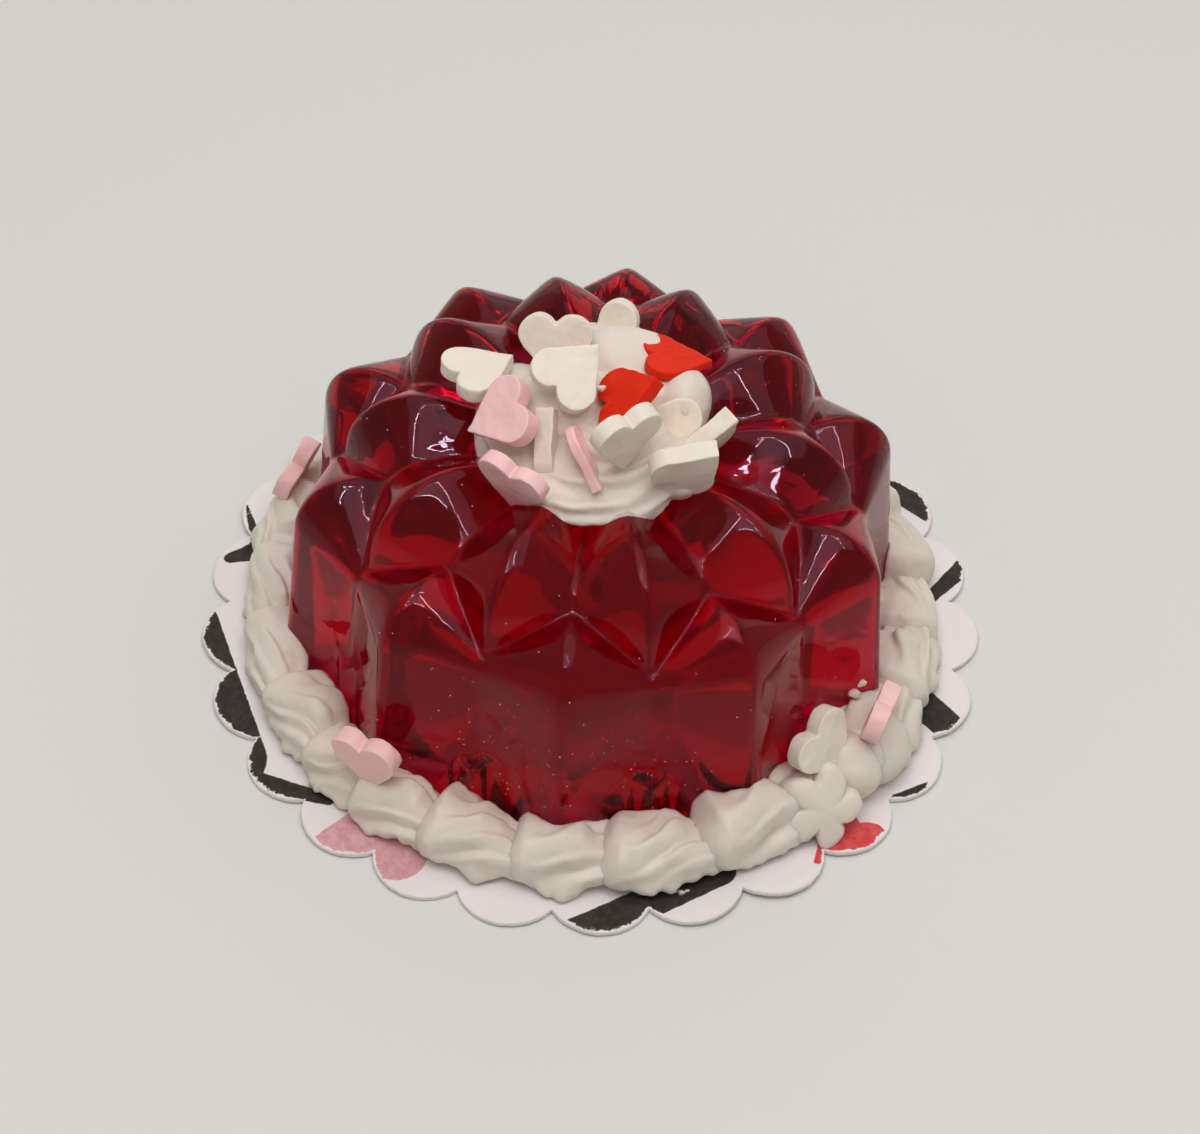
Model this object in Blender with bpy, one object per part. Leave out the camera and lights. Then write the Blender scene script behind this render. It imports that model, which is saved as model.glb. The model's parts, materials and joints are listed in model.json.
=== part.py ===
"""A miniature moulded jelly of cast red resin on a scalloped card.

The jelly is a crown of two rings of pointed lobes. A border of piped shells runs round
its foot, a dollop of the same cream sits on its top, and slices of a clay heart cane are
pressed into both. Sizes are in millimetres and are turned into metres as they are used.
"""
import math

import bmesh
import bpy
from mathutils import Matrix, Vector

MM = 0.001
GAP = 0.3                    # clearance between pieces that touch

# Card
CARD_SCALLOPS = 25
CARD_NOTCH_RADIUS = 27.0     # from the centre to the notches between scallops
CARD_THICKNESS = 0.4
CARD_FIRST_NOTCH = 165.3     # azimuth of one notch, in degrees
CARD_ARC_POINTS = 5          # points along each scallop

# Jelly
LOBES = 10                   # in each of the two rings
FIRST_RIDGE = -94.6          # azimuth of one outer ridge, in degrees
JELLY_FOOT = CARD_THICKNESS + GAP
JELLY_CORE_HEIGHT = 9.0      # height of the point on the axis that the shape is built around
OUTER_RING = {"radius": 22.9, "draft": 4.8, "height": 18.4, "shoulder": 4.3, "fall": 22.0, "flank": 0.63}
INNER_RING = {"radius": 20.8, "draft": 9.5, "height": 21.8, "shoulder": 5.9, "fall": 15.0, "flank": 0.72}
COLUMNS_PER_LOBE = 8
ROWS_BELOW_CREST = 9
ROWS_ABOVE_CREST = 8

# Cream dollop on the top
DOLLOP_RADIUS = 9.5
DOLLOP_RISE = 3.8            # from its rim to its top
DOLLOP_RIM = 0.9             # thickness of its rim
DOLLOP_FULLNESS = 3.2        # how long its top stays high towards the rim
DOLLOP_COLUMNS = 40
DOLLOP_RINGS = (0.22, 0.45, 0.67, 0.86)

# Cream border round the foot
BORDER_RADIUS = 25.4         # mean outer edge
BORDER_HEIGHT = 4.4          # mean height above the card
BORDER_COLUMNS_PER_LOBE = 16
SHELL_STARTS = (-130, -116, -102, -86, -69, -52, -37, -21, -6, 9, 24, 38, 53, 68,
                83, 97, 112, 127, 142, 156, 171, 186, 200, 215)

# Heart slices
HEART_WIDTH = 5.3
HEART_LENGTH = 5.0
LOBE_SHARE = 0.27            # radius of each heart lobe as a share of the width
HEART_ARC_POINTS = 7

# Name, colour, centre, azimuth and elevation that the face looks towards, turn of its point
# from straight down, and thickness
HEARTS = (
    ("heart_left", "white", (-8.3, 1.6, 24.1), 68, 84, 37, 1.3),
    ("heart_back", "white", (-3.3, 3.5, 24.6), -90, 35, 0, 1.4),
    ("heart_top", "white", (0.9, 6.8, 22.5), -109, 30, 46, 1.4),
    ("heart_crown", "white", (-1.9, -0.8, 26.8), -75, 58, 235, 1.2),
    ("heart_pink_left", "pink", (-6.8, -3.2, 24.3), -147, 48, 22, 1.4),
    ("heart_upright", "white", (-3.4, -3.1, 22.7), -10, 11, 185, 1.4),
    ("heart_pink_low", "pink", (-5.6, -7.2, 22.0), -122, -15, 8, 1.2),
    ("heart_pink_front", "pink", (-0.5, -5.5, 22.4), 13, 30, 87, 0.9),
    ("heart_red_back", "red", (5.3, 3.4, 24.2), 55, 74, 50, 0.8),
    ("heart_red_crown", "red", (2.1, -2.1, 25.9), -169, 50, 189, 1.2),
    ("heart_two_up", "white", (1.7, -6.2, 25.7), -53, -7, 4, 1.4),
    ("heart_right", "white", (4.3, -1.7, 22.4), -85, 40, 109, 1.3),
    ("heart_arm", "white", (7.8, -3.1, 23.6), -44, -24, 199, 1.4),
    ("heart_low_right", "white", (6.4, -6.7, 24.2), -79, -13, 222, 1.4),
    ("border_pink_left", "pink", (-14.9, -18.8, 5.6), -120, -5, 350, 1.4),
    ("border_white", "white", (16.7, -15.7, 5.7), -45, 20, 335, 1.4),
    ("border_pink_right", "pink", (20.5, -13.0, 5.4), -20, -10, 10, 1.4),
    ("border_pink_back", "pink", (-22.9, 9.7, 4.6), 160, 20, 20, 1.4),
)

COLOURS = {
    "jelly": (0.28, 0.004, 0.012, 1.0),
    "cream": (0.72, 0.66, 0.58, 1.0),
    "card": (0.78, 0.73, 0.73, 1.0),
    "white": (0.83, 0.77, 0.67, 1.0),
    "pink": (0.85, 0.50, 0.50, 1.0),
    "red": (0.72, 0.04, 0.015, 1.0),
}


def clear_scene():
    for old in list(bpy.data.objects):
        bpy.data.objects.remove(old)


def finish(name, roughness):
    """A plain material for one of the object's colours."""
    material = bpy.data.materials.get(name)
    if material is None:
        material = bpy.data.materials.new(name)
        material.use_nodes = True
        shader = material.node_tree.nodes["Principled BSDF"]
        shader.inputs["Base Color"].default_value = COLOURS[name]
        shader.inputs["Roughness"].default_value = roughness
        shader.inputs["Metallic"].default_value = 0.0
    return material


def add_solid(name, points, faces, material):
    """One closed solid, from points in millimetres."""
    mesh = bpy.data.meshes.new(name)
    mesh.from_pydata([tuple(c * MM for c in p) for p in points], [], faces)
    shape = bmesh.new()
    shape.from_mesh(mesh)
    bmesh.ops.recalc_face_normals(shape, faces=shape.faces)
    bmesh.ops.triangulate(shape, faces=shape.faces)
    shape.to_mesh(mesh)
    shape.free()
    mesh.materials.append(material)
    mesh.shade_smooth()
    mesh.set_sharp_from_angle(angle=math.radians(28))
    solid = bpy.data.objects.new(name, mesh)
    bpy.context.scene.collection.objects.link(solid)
    return solid


def depth_inside(ring, x, z):
    """How far the point (x, z) of a ridge's own plane lies inside the ridge line.

    The line rises with some draft, rounds a shoulder and falls gently towards the axis.
    """
    draft = math.radians(ring["draft"])
    fall = math.radians(ring["fall"])
    shoulder = ring["shoulder"]
    centre_z = ring["height"] - shoulder
    centre_x = ring["radius"] - centre_z * math.tan(draft) - shoulder / math.cos(draft)
    dx = x - centre_x
    dz = z - centre_z
    along_wall = dz * math.cos(draft) - dx * math.sin(draft)
    along_top = -dx * math.cos(fall) - dz * math.sin(fall)
    if along_wall > 0 and along_top < 0:
        return shoulder - math.hypot(dx, dz)
    beyond_wall = dx * math.cos(draft) + dz * math.sin(draft)
    beyond_top = dz * math.cos(fall) - dx * math.sin(fall)
    return shoulder - max(beyond_wall, beyond_top)


def swing_from_ridge(azimuth, first_ridge):
    """Angle to the nearest ridge of a ring, in radians."""
    pitch = 360 / LOBES
    offset = (azimuth - first_ridge + pitch / 2) % pitch - pitch / 2
    return math.radians(offset)


def depth_in_lobe(ring, first_ridge, radius, azimuth, z):
    """How far a point lies inside the nearest lobe of one ring, whose flanks are flat."""
    swing = swing_from_ridge(azimuth, first_ridge)
    side = radius * abs(math.sin(swing))
    return depth_inside(ring, radius * math.cos(swing), z) - ring["flank"] * side


def depth_in_outer(radius, azimuth, z):
    return depth_in_lobe(OUTER_RING, FIRST_RIDGE, radius, azimuth, z)


def depth_in_inner(radius, azimuth, z):
    return depth_in_lobe(INNER_RING, FIRST_RIDGE + 180 / LOBES, radius, azimuth, z)


def depth_in_jelly(radius, azimuth, z):
    return max(depth_in_outer(radius, azimuth, z), depth_in_inner(radius, azimuth, z))


def reach(depth, azimuth, lift, start_z):
    """Length of the ray from the axis to the surface, at an angle of lift above level."""
    low = 0.0
    high = 40.0
    for _ in range(36):
        middle = (low + high) / 2
        radius = middle * math.cos(lift)
        if depth(radius, azimuth, start_z + middle * math.sin(lift)) > 0:
            low = middle
        else:
            high = middle
    return low


def crest_lift(azimuth):
    """Lift of the ray that meets the line where the outer lobes run into the inner ones."""
    low = 0.0
    high = math.radians(85)
    steps = 60
    for step in range(steps):
        lift = math.radians(85) * (steps - step) / steps
        outer = reach(depth_in_outer, azimuth, lift, JELLY_CORE_HEIGHT)
        inner = reach(depth_in_inner, azimuth, lift, JELLY_CORE_HEIGHT)
        if outer > inner:
            low = lift
            break
        high = lift
    for _ in range(20):
        middle = (low + high) / 2
        outer = reach(depth_in_outer, azimuth, middle, JELLY_CORE_HEIGHT)
        inner = reach(depth_in_inner, azimuth, middle, JELLY_CORE_HEIGHT)
        if outer > inner:
            low = middle
        else:
            high = middle
    return low


def outline_radius(azimuth, z):
    """Radius of the jelly's wall at a height."""
    return reach(depth_in_outer, azimuth, 0.0, z)


def jelly_column(azimuth):
    """Points up one line of the jelly, from its foot to near the axis."""
    foot = outline_radius(azimuth, JELLY_FOOT)
    lowest = math.atan2(JELLY_FOOT - JELLY_CORE_HEIGHT, foot)
    crest = crest_lift(azimuth)
    lifts = [lowest + (crest - lowest) * i / ROWS_BELOW_CREST for i in range(1, ROWS_BELOW_CREST + 1)]
    top = math.pi / 2
    lifts += [crest + (top - crest) * i / ROWS_ABOVE_CREST for i in range(1, ROWS_ABOVE_CREST)]
    column = [polar(foot, azimuth, JELLY_FOOT)]
    for row, lift in enumerate(lifts):
        depth = depth_in_outer if row < ROWS_BELOW_CREST else depth_in_inner
        length = reach(depth, azimuth, lift, JELLY_CORE_HEIGHT)
        column.append(polar(length * math.cos(lift), azimuth, JELLY_CORE_HEIGHT + length * math.sin(lift)))
    return column


def polar(radius, azimuth, z):
    angle = math.radians(azimuth)
    return (radius * math.cos(angle), radius * math.sin(angle), z)


def ring_faces(columns, rows, closed_rows=False):
    """Quads round a ring of columns; closed_rows also joins each column's ends."""
    faces = []
    for column in range(columns):
        beside = (column + 1) % columns
        for row in range(rows if closed_rows else rows - 1):
            above = (row + 1) % rows
            lower = (column * rows + row, beside * rows + row)
            upper = (beside * rows + above, column * rows + above)
            faces.append(lower + upper)
    return faces


def build_jelly():
    columns = LOBES * COLUMNS_PER_LOBE
    points = []
    for column in range(columns):
        points += jelly_column(FIRST_RIDGE + 360 * column / columns)
    rows = len(points) // columns
    faces = ring_faces(columns, rows)
    top = len(points)
    top_z = JELLY_CORE_HEIGHT + reach(depth_in_inner, FIRST_RIDGE, math.pi / 2, JELLY_CORE_HEIGHT)
    points.append((0.0, 0.0, top_z))
    for column in range(columns):
        beside = (column + 1) % columns
        faces.append((column * rows + rows - 1, beside * rows + rows - 1, top))
    faces.append([column * rows for column in reversed(range(columns))])
    return add_solid("jelly", points, faces, finish("jelly", 0.06))


def jelly_top(radius, azimuth):
    """Height of the jelly's upper surface near its middle."""
    low = 10.0
    high = 24.0
    for _ in range(30):
        middle = (low + high) / 2
        if depth_in_jelly(radius, azimuth, middle) > 0:
            low = middle
        else:
            high = middle
    return high


def dollop_height(share, azimuth):
    """Rise of the dollop above its rim, with soft folds that wind towards the top."""
    fold = math.cos(math.radians(5 * azimuth + 150 * share))
    return DOLLOP_RISE * (1 - share ** DOLLOP_FULLNESS) + 0.35 * fold * share * (1 - share) * 4


def build_dollop():
    points = []
    for column in range(DOLLOP_COLUMNS):
        azimuth = FIRST_RIDGE + 360 * column / DOLLOP_COLUMNS
        rim = DOLLOP_RADIUS * (1 + 0.05 * math.cos(math.radians(3 * azimuth + 40)))
        under = [(share * rim, jelly_top(share * rim, azimuth) + GAP) for share in DOLLOP_RINGS]
        seat = jelly_top(rim, azimuth) + GAP
        base = seat * 0.35 + 0.65 * (jelly_top(rim, FIRST_RIDGE + 180 / LOBES) + GAP)
        side = [(rim * 0.985, seat), (rim * 1.02, seat + DOLLOP_RIM * 0.5)]
        crown = base + DOLLOP_RIM
        over = [(share * rim, crown + dollop_height(share, azimuth)) for share in reversed(DOLLOP_RINGS)]
        points += [polar(radius, azimuth, z) for radius, z in under + side + over]
    rows = 2 * len(DOLLOP_RINGS) + 2
    faces = ring_faces(DOLLOP_COLUMNS, rows)
    below = len(points)
    points.append((0.0, 0.0, jelly_top(0.0, FIRST_RIDGE) + GAP))
    points.append((0.0, 0.0, base + DOLLOP_RIM + DOLLOP_RISE))
    for column in range(DOLLOP_COLUMNS):
        beside = (column + 1) % DOLLOP_COLUMNS
        faces.append((beside * rows, column * rows, below))
        faces.append((column * rows + rows - 1, beside * rows + rows - 1, below + 1))
    return add_solid("cream_top", points, faces, finish("cream", 0.55))


def shell_at(azimuth):
    """Which piped shell an azimuth falls in, and how far along it, from 0 at its fat head."""
    starts = sorted(start % 360 for start in SHELL_STARTS)
    turn = azimuth % 360
    index = max([i for i, start in enumerate(starts) if start <= turn], default=len(starts) - 1)
    start = starts[index]
    end = starts[(index + 1) % len(starts)]
    return index, ((turn - start) % 360) / ((end - start) % 360)


def build_border():
    columns = LOBES * BORDER_COLUMNS_PER_LOBE
    points = []
    for column in range(columns):
        azimuth = FIRST_RIDGE + 360 * column / columns
        index, along = shell_at(azimuth)
        swell = math.sin(math.pi * min(1.0, 0.18 + along) ** 0.7)
        uneven = math.sin(2.4 * index)
        height = BORDER_HEIGHT * (0.80 + 0.24 * swell + 0.05 * uneven)
        outer = BORDER_RADIUS - 0.9 + 1.1 * swell + 0.25 * uneven
        top_inner = outline_radius(azimuth, height) + GAP
        section = []
        for share in (0.0, 0.5, 0.94):
            z = JELLY_FOOT + (height - JELLY_FOOT) * share
            section.append((outline_radius(azimuth, z) + GAP, z))
        for step in range(1, 7):
            angle = math.pi / 2 * step / 6
            groove = 0.22 * math.cos(math.radians(4 * 360 * (step / 6 - 0.35 * along)))
            bulge = 1.0 + groove * math.sin(math.pi * step / 6) * 0.35
            radius = top_inner + (outer - top_inner) * math.sin(angle) * bulge
            z = JELLY_FOOT + (height - JELLY_FOOT) * math.cos(angle) * bulge
            section.append((radius, max(z, JELLY_FOOT)))
        points += [polar(radius, azimuth, z) for radius, z in section]
    rows = len(points) // columns
    return add_solid("cream_border", points, ring_faces(columns, rows, True), finish("cream", 0.55))


def build_card():
    """The scalloped card, each scallop an arc between two notches."""
    pitch = 360 / CARD_SCALLOPS
    half_chord = CARD_NOTCH_RADIUS * math.sin(math.radians(pitch / 2))
    chord_distance = CARD_NOTCH_RADIUS * math.cos(math.radians(pitch / 2))
    bulge = half_chord * 0.62
    arc_radius = (half_chord ** 2 + bulge ** 2) / (2 * bulge)
    half_angle = math.asin(half_chord / arc_radius)
    outline = []
    for scallop in range(CARD_SCALLOPS):
        middle = math.radians(CARD_FIRST_NOTCH + pitch * (scallop + 0.5))
        centre = chord_distance + bulge - arc_radius
        for step in range(CARD_ARC_POINTS):
            angle = middle + half_angle * (2 * step / CARD_ARC_POINTS - 1)
            outline.append((
                centre * math.cos(middle) + arc_radius * math.cos(angle),
                centre * math.sin(middle) + arc_radius * math.sin(angle),
            ))
    count = len(outline)
    points = [(x, y, 0.0) for x, y in outline] + [(x, y, CARD_THICKNESS) for x, y in outline]
    faces = [tuple(reversed(range(count))), tuple(range(count, 2 * count))]
    for i in range(count):
        j = (i + 1) % count
        faces.append((i, j, count + j, count + i))
    return add_solid("card", points, faces, finish("card", 0.6))


def heart_outline(spare):
    """A heart with its point down, grown by spare all round."""
    lobe = HEART_WIDTH * LOBE_SHARE
    lobe_x = HEART_WIDTH / 2 - lobe
    lobe_y = HEART_LENGTH / 2 - lobe
    tip_y = -HEART_LENGTH / 2
    to_lobe = math.atan2(lobe_y - tip_y, lobe_x)
    side = math.asin(lobe / math.hypot(lobe_x, lobe_y - tip_y))
    first = to_lobe - side - math.pi / 2
    last = math.pi - math.acos(min(1.0, lobe_x / (lobe + spare)))
    half = []
    for step in range(HEART_ARC_POINTS):
        angle = first + (last - first) * step / (HEART_ARC_POINTS - 1)
        half.append((lobe_x + (lobe + spare) * math.cos(angle), lobe_y + (lobe + spare) * math.sin(angle)))
    mirrored = [(-x, y) for x, y in reversed(half[:-1])]
    return [(0.0, tip_y - spare / math.cos(first))] + half + mirrored


def heart_solid(name, colour, thickness, spare):
    """A slice of the heart cane, flat on XY, with its point towards -Y."""
    outline = heart_outline(spare)
    count = len(outline)
    half = thickness / 2 + spare
    points = [(x, y, -half) for x, y in outline] + [(x, y, half) for x, y in outline]
    faces = [tuple(reversed(range(count))), tuple(range(count, 2 * count))]
    for i in range(count):
        j = (i + 1) % count
        faces.append((i, j, count + j, count + i))
    return add_solid(name, points, faces, finish(colour, 0.5))


def heart_pose(centre, azimuth, elevation, turn):
    """Place of a heart whose face looks towards an azimuth and an elevation."""
    az, el, spin = (math.radians(angle) for angle in (azimuth, elevation, turn))
    face = Vector((math.cos(el) * math.cos(az), math.cos(el) * math.sin(az), math.sin(el)))
    rise = Vector((-math.sin(el) * math.cos(az), -math.sin(el) * math.sin(az), math.cos(el)))
    up = math.cos(spin) * rise + math.sin(spin) * rise.cross(face)
    right = up.cross(face)
    turned = Matrix((right, up, face)).transposed().to_4x4()
    return Matrix.Translation(Vector(centre) * MM) @ turned


def cut_pocket(body, cutter):
    """Leave room in the cream for a slice pressed into it."""
    cut = body.modifiers.new(cutter.name, "BOOLEAN")
    cut.operation = "DIFFERENCE"
    cut.solver = "EXACT"
    cut.object = cutter


def build_hearts(dollop, border):
    for name, colour, centre, azimuth, elevation, turn, thickness in HEARTS:
        pose = heart_pose(centre, azimuth, elevation, turn)
        heart = heart_solid(name, colour, thickness, 0.0)
        heart.matrix_world = pose
        cutter = heart_solid("room_for_" + name, colour, thickness, GAP)
        cutter.matrix_world = pose
        cutter.hide_render = True
        cutter.display_type = "WIRE"
        cut_pocket(border if name.startswith("border") else dollop, cutter)


clear_scene()
build_card()
build_jelly()
cream_top = build_dollop()
cream_border = build_border()
build_hearts(cream_top, cream_border)
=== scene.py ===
import json
import math

import bpy
import numpy as np
from mathutils import Matrix, Vector, noise


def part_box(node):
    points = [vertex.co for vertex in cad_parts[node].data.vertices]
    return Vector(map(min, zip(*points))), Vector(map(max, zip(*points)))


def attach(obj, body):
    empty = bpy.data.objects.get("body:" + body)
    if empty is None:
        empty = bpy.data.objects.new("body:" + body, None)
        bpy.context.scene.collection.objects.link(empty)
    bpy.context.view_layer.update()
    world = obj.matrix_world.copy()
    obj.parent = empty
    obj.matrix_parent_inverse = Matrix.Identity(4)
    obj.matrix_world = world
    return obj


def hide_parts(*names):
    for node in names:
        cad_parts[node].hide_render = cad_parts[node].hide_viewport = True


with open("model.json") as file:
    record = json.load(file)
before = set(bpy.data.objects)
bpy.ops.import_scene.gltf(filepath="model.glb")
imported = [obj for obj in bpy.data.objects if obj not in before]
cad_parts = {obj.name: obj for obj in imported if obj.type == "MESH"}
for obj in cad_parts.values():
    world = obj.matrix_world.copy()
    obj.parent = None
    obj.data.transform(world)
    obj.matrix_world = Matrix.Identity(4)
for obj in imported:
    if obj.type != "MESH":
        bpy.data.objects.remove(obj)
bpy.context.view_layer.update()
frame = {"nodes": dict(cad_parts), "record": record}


# --- Scalloped card ------------------------------------------------------------------
# A thin white card, punched with a scalloped edge out of a printed sheet. The print is a
# few broad black strokes and two hearts, and it stops short of the fuzzy torn edge.

MM = 0.001
CARD_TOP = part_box("card")[1][2] / MM
SCALLOPS = 25
NOTCH_RADIUS = 27.0
FIRST_NOTCH = math.radians(165.3)
SCALLOP_BULGE = 0.62         # height of a scallop as a share of half its width
CARD_COLUMNS_PER_SCALLOP = 24
CARD_RINGS = [0, 4, 9, 14, 18] + [18 + 0.3 * step for step in range(1, 30)]
CARD_EDGE_ROUND = 0.05
INK_STROKES = {
    "black_ink": [((0.3, -28.8, 1.4), (9.6, -23.0, 1.3)), ((-30.6, -2.6, 3.1), (-25.7, -15.0, 3.0)),
                  ((-27.4, 4.5, 0.5), (-25.7, 5.2, 0.9)), ((-26.8, 9.9, 0.1), (-25.5, 6.0, 0.5)),
                  ((-23.4, -16.8, 0.9), (-18.0, -18.2, 0.5)), ((22.9, 14.8, 1.1), (25.6, 12.2, 0.9)),
                  ((25.3, 3.4, 0.5), (28.4, 7.2, 0.8)), ((24.0, -6.4, 1.3), (26.8, -9.8, 1.2)),
                  ((22.2, -15.8, 0.3), (25.4, -14.3, 0.4)), ((8.0, 25.0, 1.2), (15.5, 22.5, 1.4)),
                  ((-14.0, 23.2, 0.5), (-8.0, 26.8, 1.3))],
    "pink_ink": [((-15.2, -18.4, 0.3), (-16.6, -22.2, 2.1)), ((-15.2, -18.4, 0.3), (-12.9, -22.8, 2.2))],
    "red_ink": [((16.5, -22.0, 0.2), (18.3, -18.6, 1.4)), ((16.5, -22.0, 0.2), (20.2, -19.4, 1.3))],
}


def mesh_piece(name, points, faces):
    """A smooth mesh object from points in millimetres."""
    mesh = bpy.data.meshes.new(name)
    mesh.from_pydata((np.asarray(points, dtype=float) * MM).tolist(), [], faces)
    mesh.shade_smooth()
    piece = bpy.data.objects.new(name, mesh)
    bpy.context.scene.collection.objects.link(piece)
    return piece


def ripple(points, scale, seed):
    """Smooth noise from -1 to 1 at points in millimetres, with bumps about scale wide."""
    shift = Vector((seed * 7.3, seed * 3.1, seed * 5.7))
    return np.array([noise.noise(Vector(point) / scale + shift) for point in points])


def ring_of_quads(columns, rows):
    """Quads between neighbouring columns of a closed ring, each column with its rows in order."""
    faces = []
    for column in range(columns):
        here = column * rows
        beside = (column + 1) % columns * rows
        faces += [(here + row, beside + row, beside + row + 1, here + row + 1) for row in range(rows - 1)]
    return faces


def scallop_radius(azimuth):
    """Radius of the card's outline at each azimuth."""
    pitch = 2 * math.pi / SCALLOPS
    half_chord = NOTCH_RADIUS * math.sin(pitch / 2)
    bulge = half_chord * SCALLOP_BULGE
    arc_radius = (half_chord ** 2 + bulge ** 2) / (2 * bulge)
    centre = NOTCH_RADIUS * math.cos(pitch / 2) + bulge - arc_radius
    swing = (azimuth - FIRST_NOTCH) % pitch - pitch / 2
    return centre * np.cos(swing) + np.sqrt(arc_radius ** 2 - (centre * np.sin(swing)) ** 2)


def distance_to_strokes(places, strokes):
    """Distance from places on the card to the nearest stroke, less than zero inside it."""
    nearest = np.full(len(places), 1e3)
    for (x0, y0, wide0), (x1, y1, wide1) in strokes:
        along = np.array([x1 - x0, y1 - y0])
        share = np.clip((places - (x0, y0)) @ along / (along @ along), 0, 1)
        gap = places - (x0, y0) - share[:, None] * along
        nearest = np.minimum(nearest, np.hypot(gap[:, 0], gap[:, 1]) - (wide0 + (wide1 - wide0) * share))
    return nearest


card_columns = SCALLOPS * CARD_COLUMNS_PER_SCALLOP
card_azimuths = FIRST_NOTCH + np.arange(card_columns) * 2 * math.pi / card_columns
card_edge = scallop_radius(card_azimuths)
edge_places = np.stack([27 * np.cos(card_azimuths), 27 * np.sin(card_azimuths), 0 * card_azimuths], axis=-1)
card_edge = card_edge - 0.07 - 0.06 * ripple(edge_places, 0.35, 1) - 0.03 * ripple(edge_places, 1.5, 2)
shares = np.array(CARD_RINGS) / CARD_RINGS[-1]
top_radii = shares[None, 1:] ** 1.0 * (card_edge[:, None] - CARD_EDGE_ROUND)
side_radii = np.stack([card_edge, card_edge, card_edge - CARD_EDGE_ROUND, 0.5 * card_edge], axis=-1)
card_radii = np.concatenate([top_radii, side_radii], axis=1)
side_heights = [CARD_TOP - CARD_EDGE_ROUND, CARD_EDGE_ROUND, 0, 0]
card_heights = np.concatenate([np.full_like(top_radii, CARD_TOP), np.tile(side_heights, (card_columns, 1))], axis=1)
card_points = np.stack([card_radii * np.cos(card_azimuths)[:, None], card_radii * np.sin(card_azimuths)[:, None],
                        card_heights], axis=-1).reshape(-1, 3)
curl = np.clip((np.hypot(card_points[:, 0], card_points[:, 1]) - 24.5) / 3.5, 0, 1) ** 2
card_points[:, 2] += 0.35 * curl * np.clip(0.35 + ripple(card_points * (1, 1, 0), 9.0, 3), 0, 1)
card_rows = card_radii.shape[1]
card_faces = ring_of_quads(card_columns, card_rows)
middle_above = len(card_points)
card_points = np.vstack([card_points, [(0, 0, CARD_TOP), (0, 0, 0)]])
for column in range(card_columns):
    here = column * card_rows
    beside = (column + 1) % card_columns * card_rows
    card_faces.append((beside, here, middle_above))
    card_faces.append((here + card_rows - 1, beside + card_rows - 1, middle_above + 1))
card = mesh_piece("card_scalloped", card_points, card_faces)
card.data.set_sharp_from_angle(angle=math.radians(50))
for ink, strokes in INK_STROKES.items():
    field = card.data.attributes.new(ink, "FLOAT", "POINT")
    field.data.foreach_set("value", distance_to_strokes(card_points[:, :2], strokes))
from_edge = np.concatenate([(np.repeat(card_edge, card_rows) - card_radii.reshape(-1)), [NOTCH_RADIUS, NOTCH_RADIUS]])
side_rows = np.concatenate([np.tile(np.arange(card_rows) >= len(CARD_RINGS) - 1, card_columns), [False, True]])
field = card.data.attributes.new("from_edge", "FLOAT", "POINT")
field.data.foreach_set("value", np.where(side_rows, -1.0, from_edge))


def new_material(name):
    """A new material with a Principled shader, and its node tree."""
    material = bpy.data.materials.new(name)
    material.use_nodes = True
    return material, material.node_tree, material.node_tree.nodes["Principled BSDF"]


def node(tree, kind, values=None, **settings):
    """A shader node, with settings on the node and values or links on its inputs."""
    made = tree.nodes.new("ShaderNode" + kind)
    for key, value in settings.items():
        setattr(made, key, value)
    for key, value in (values or {}).items():
        if isinstance(value, bpy.types.NodeSocket):
            tree.links.new(value, made.inputs[key])
        else:
            made.inputs[key].default_value = value
    return made


def grain(tree, size, detail=4, rough=0.55, stretch=(1, 1, 1), kind="Noise"):
    """Noise over the object's own space, with bumps about size millimetres wide."""
    place = node(tree, "TexCoord").outputs["Object"]
    place = node(tree, "Mapping", {"Vector": place, "Scale": stretch}).outputs["Vector"]
    if kind == "Voronoi":
        return node(tree, "TexVoronoi", {"Vector": place, "Scale": 1 / (size * MM)}).outputs["Distance"]
    values = {"Vector": place, "Scale": 0.5 / (size * MM), "Detail": detail, "Roughness": rough}
    return node(tree, "TexNoise", values).outputs["Fac"]


def ramp(tree, value, low, high, out_low=0.0, out_high=1.0):
    """A value between low and high spread over out_low to out_high, and held beyond them."""
    values = {"Value": value, "From Min": low, "From Max": high, "To Min": out_low, "To Max": out_high}
    return node(tree, "MapRange", values).outputs["Result"]


def blend(tree, share, first, second, how="MIX"):
    """Two colours mixed by share."""
    return node(tree, "Mix", {0: share, 6: first, 7: second}, data_type="RGBA", blend_type=how).outputs[2]


def math_node(tree, operation, first, second=0.0):
    return node(tree, "Math", {0: first, 1: second}, operation=operation).outputs[0]


def bump(tree, shader, height, distance, strength=1.0):
    """Relief of some height in millimetres on a shader."""
    values = {"Height": height, "Distance": distance * MM, "Strength": strength}
    tree.links.new(node(tree, "Bump", values).outputs["Normal"], shader.inputs["Normal"])


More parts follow.
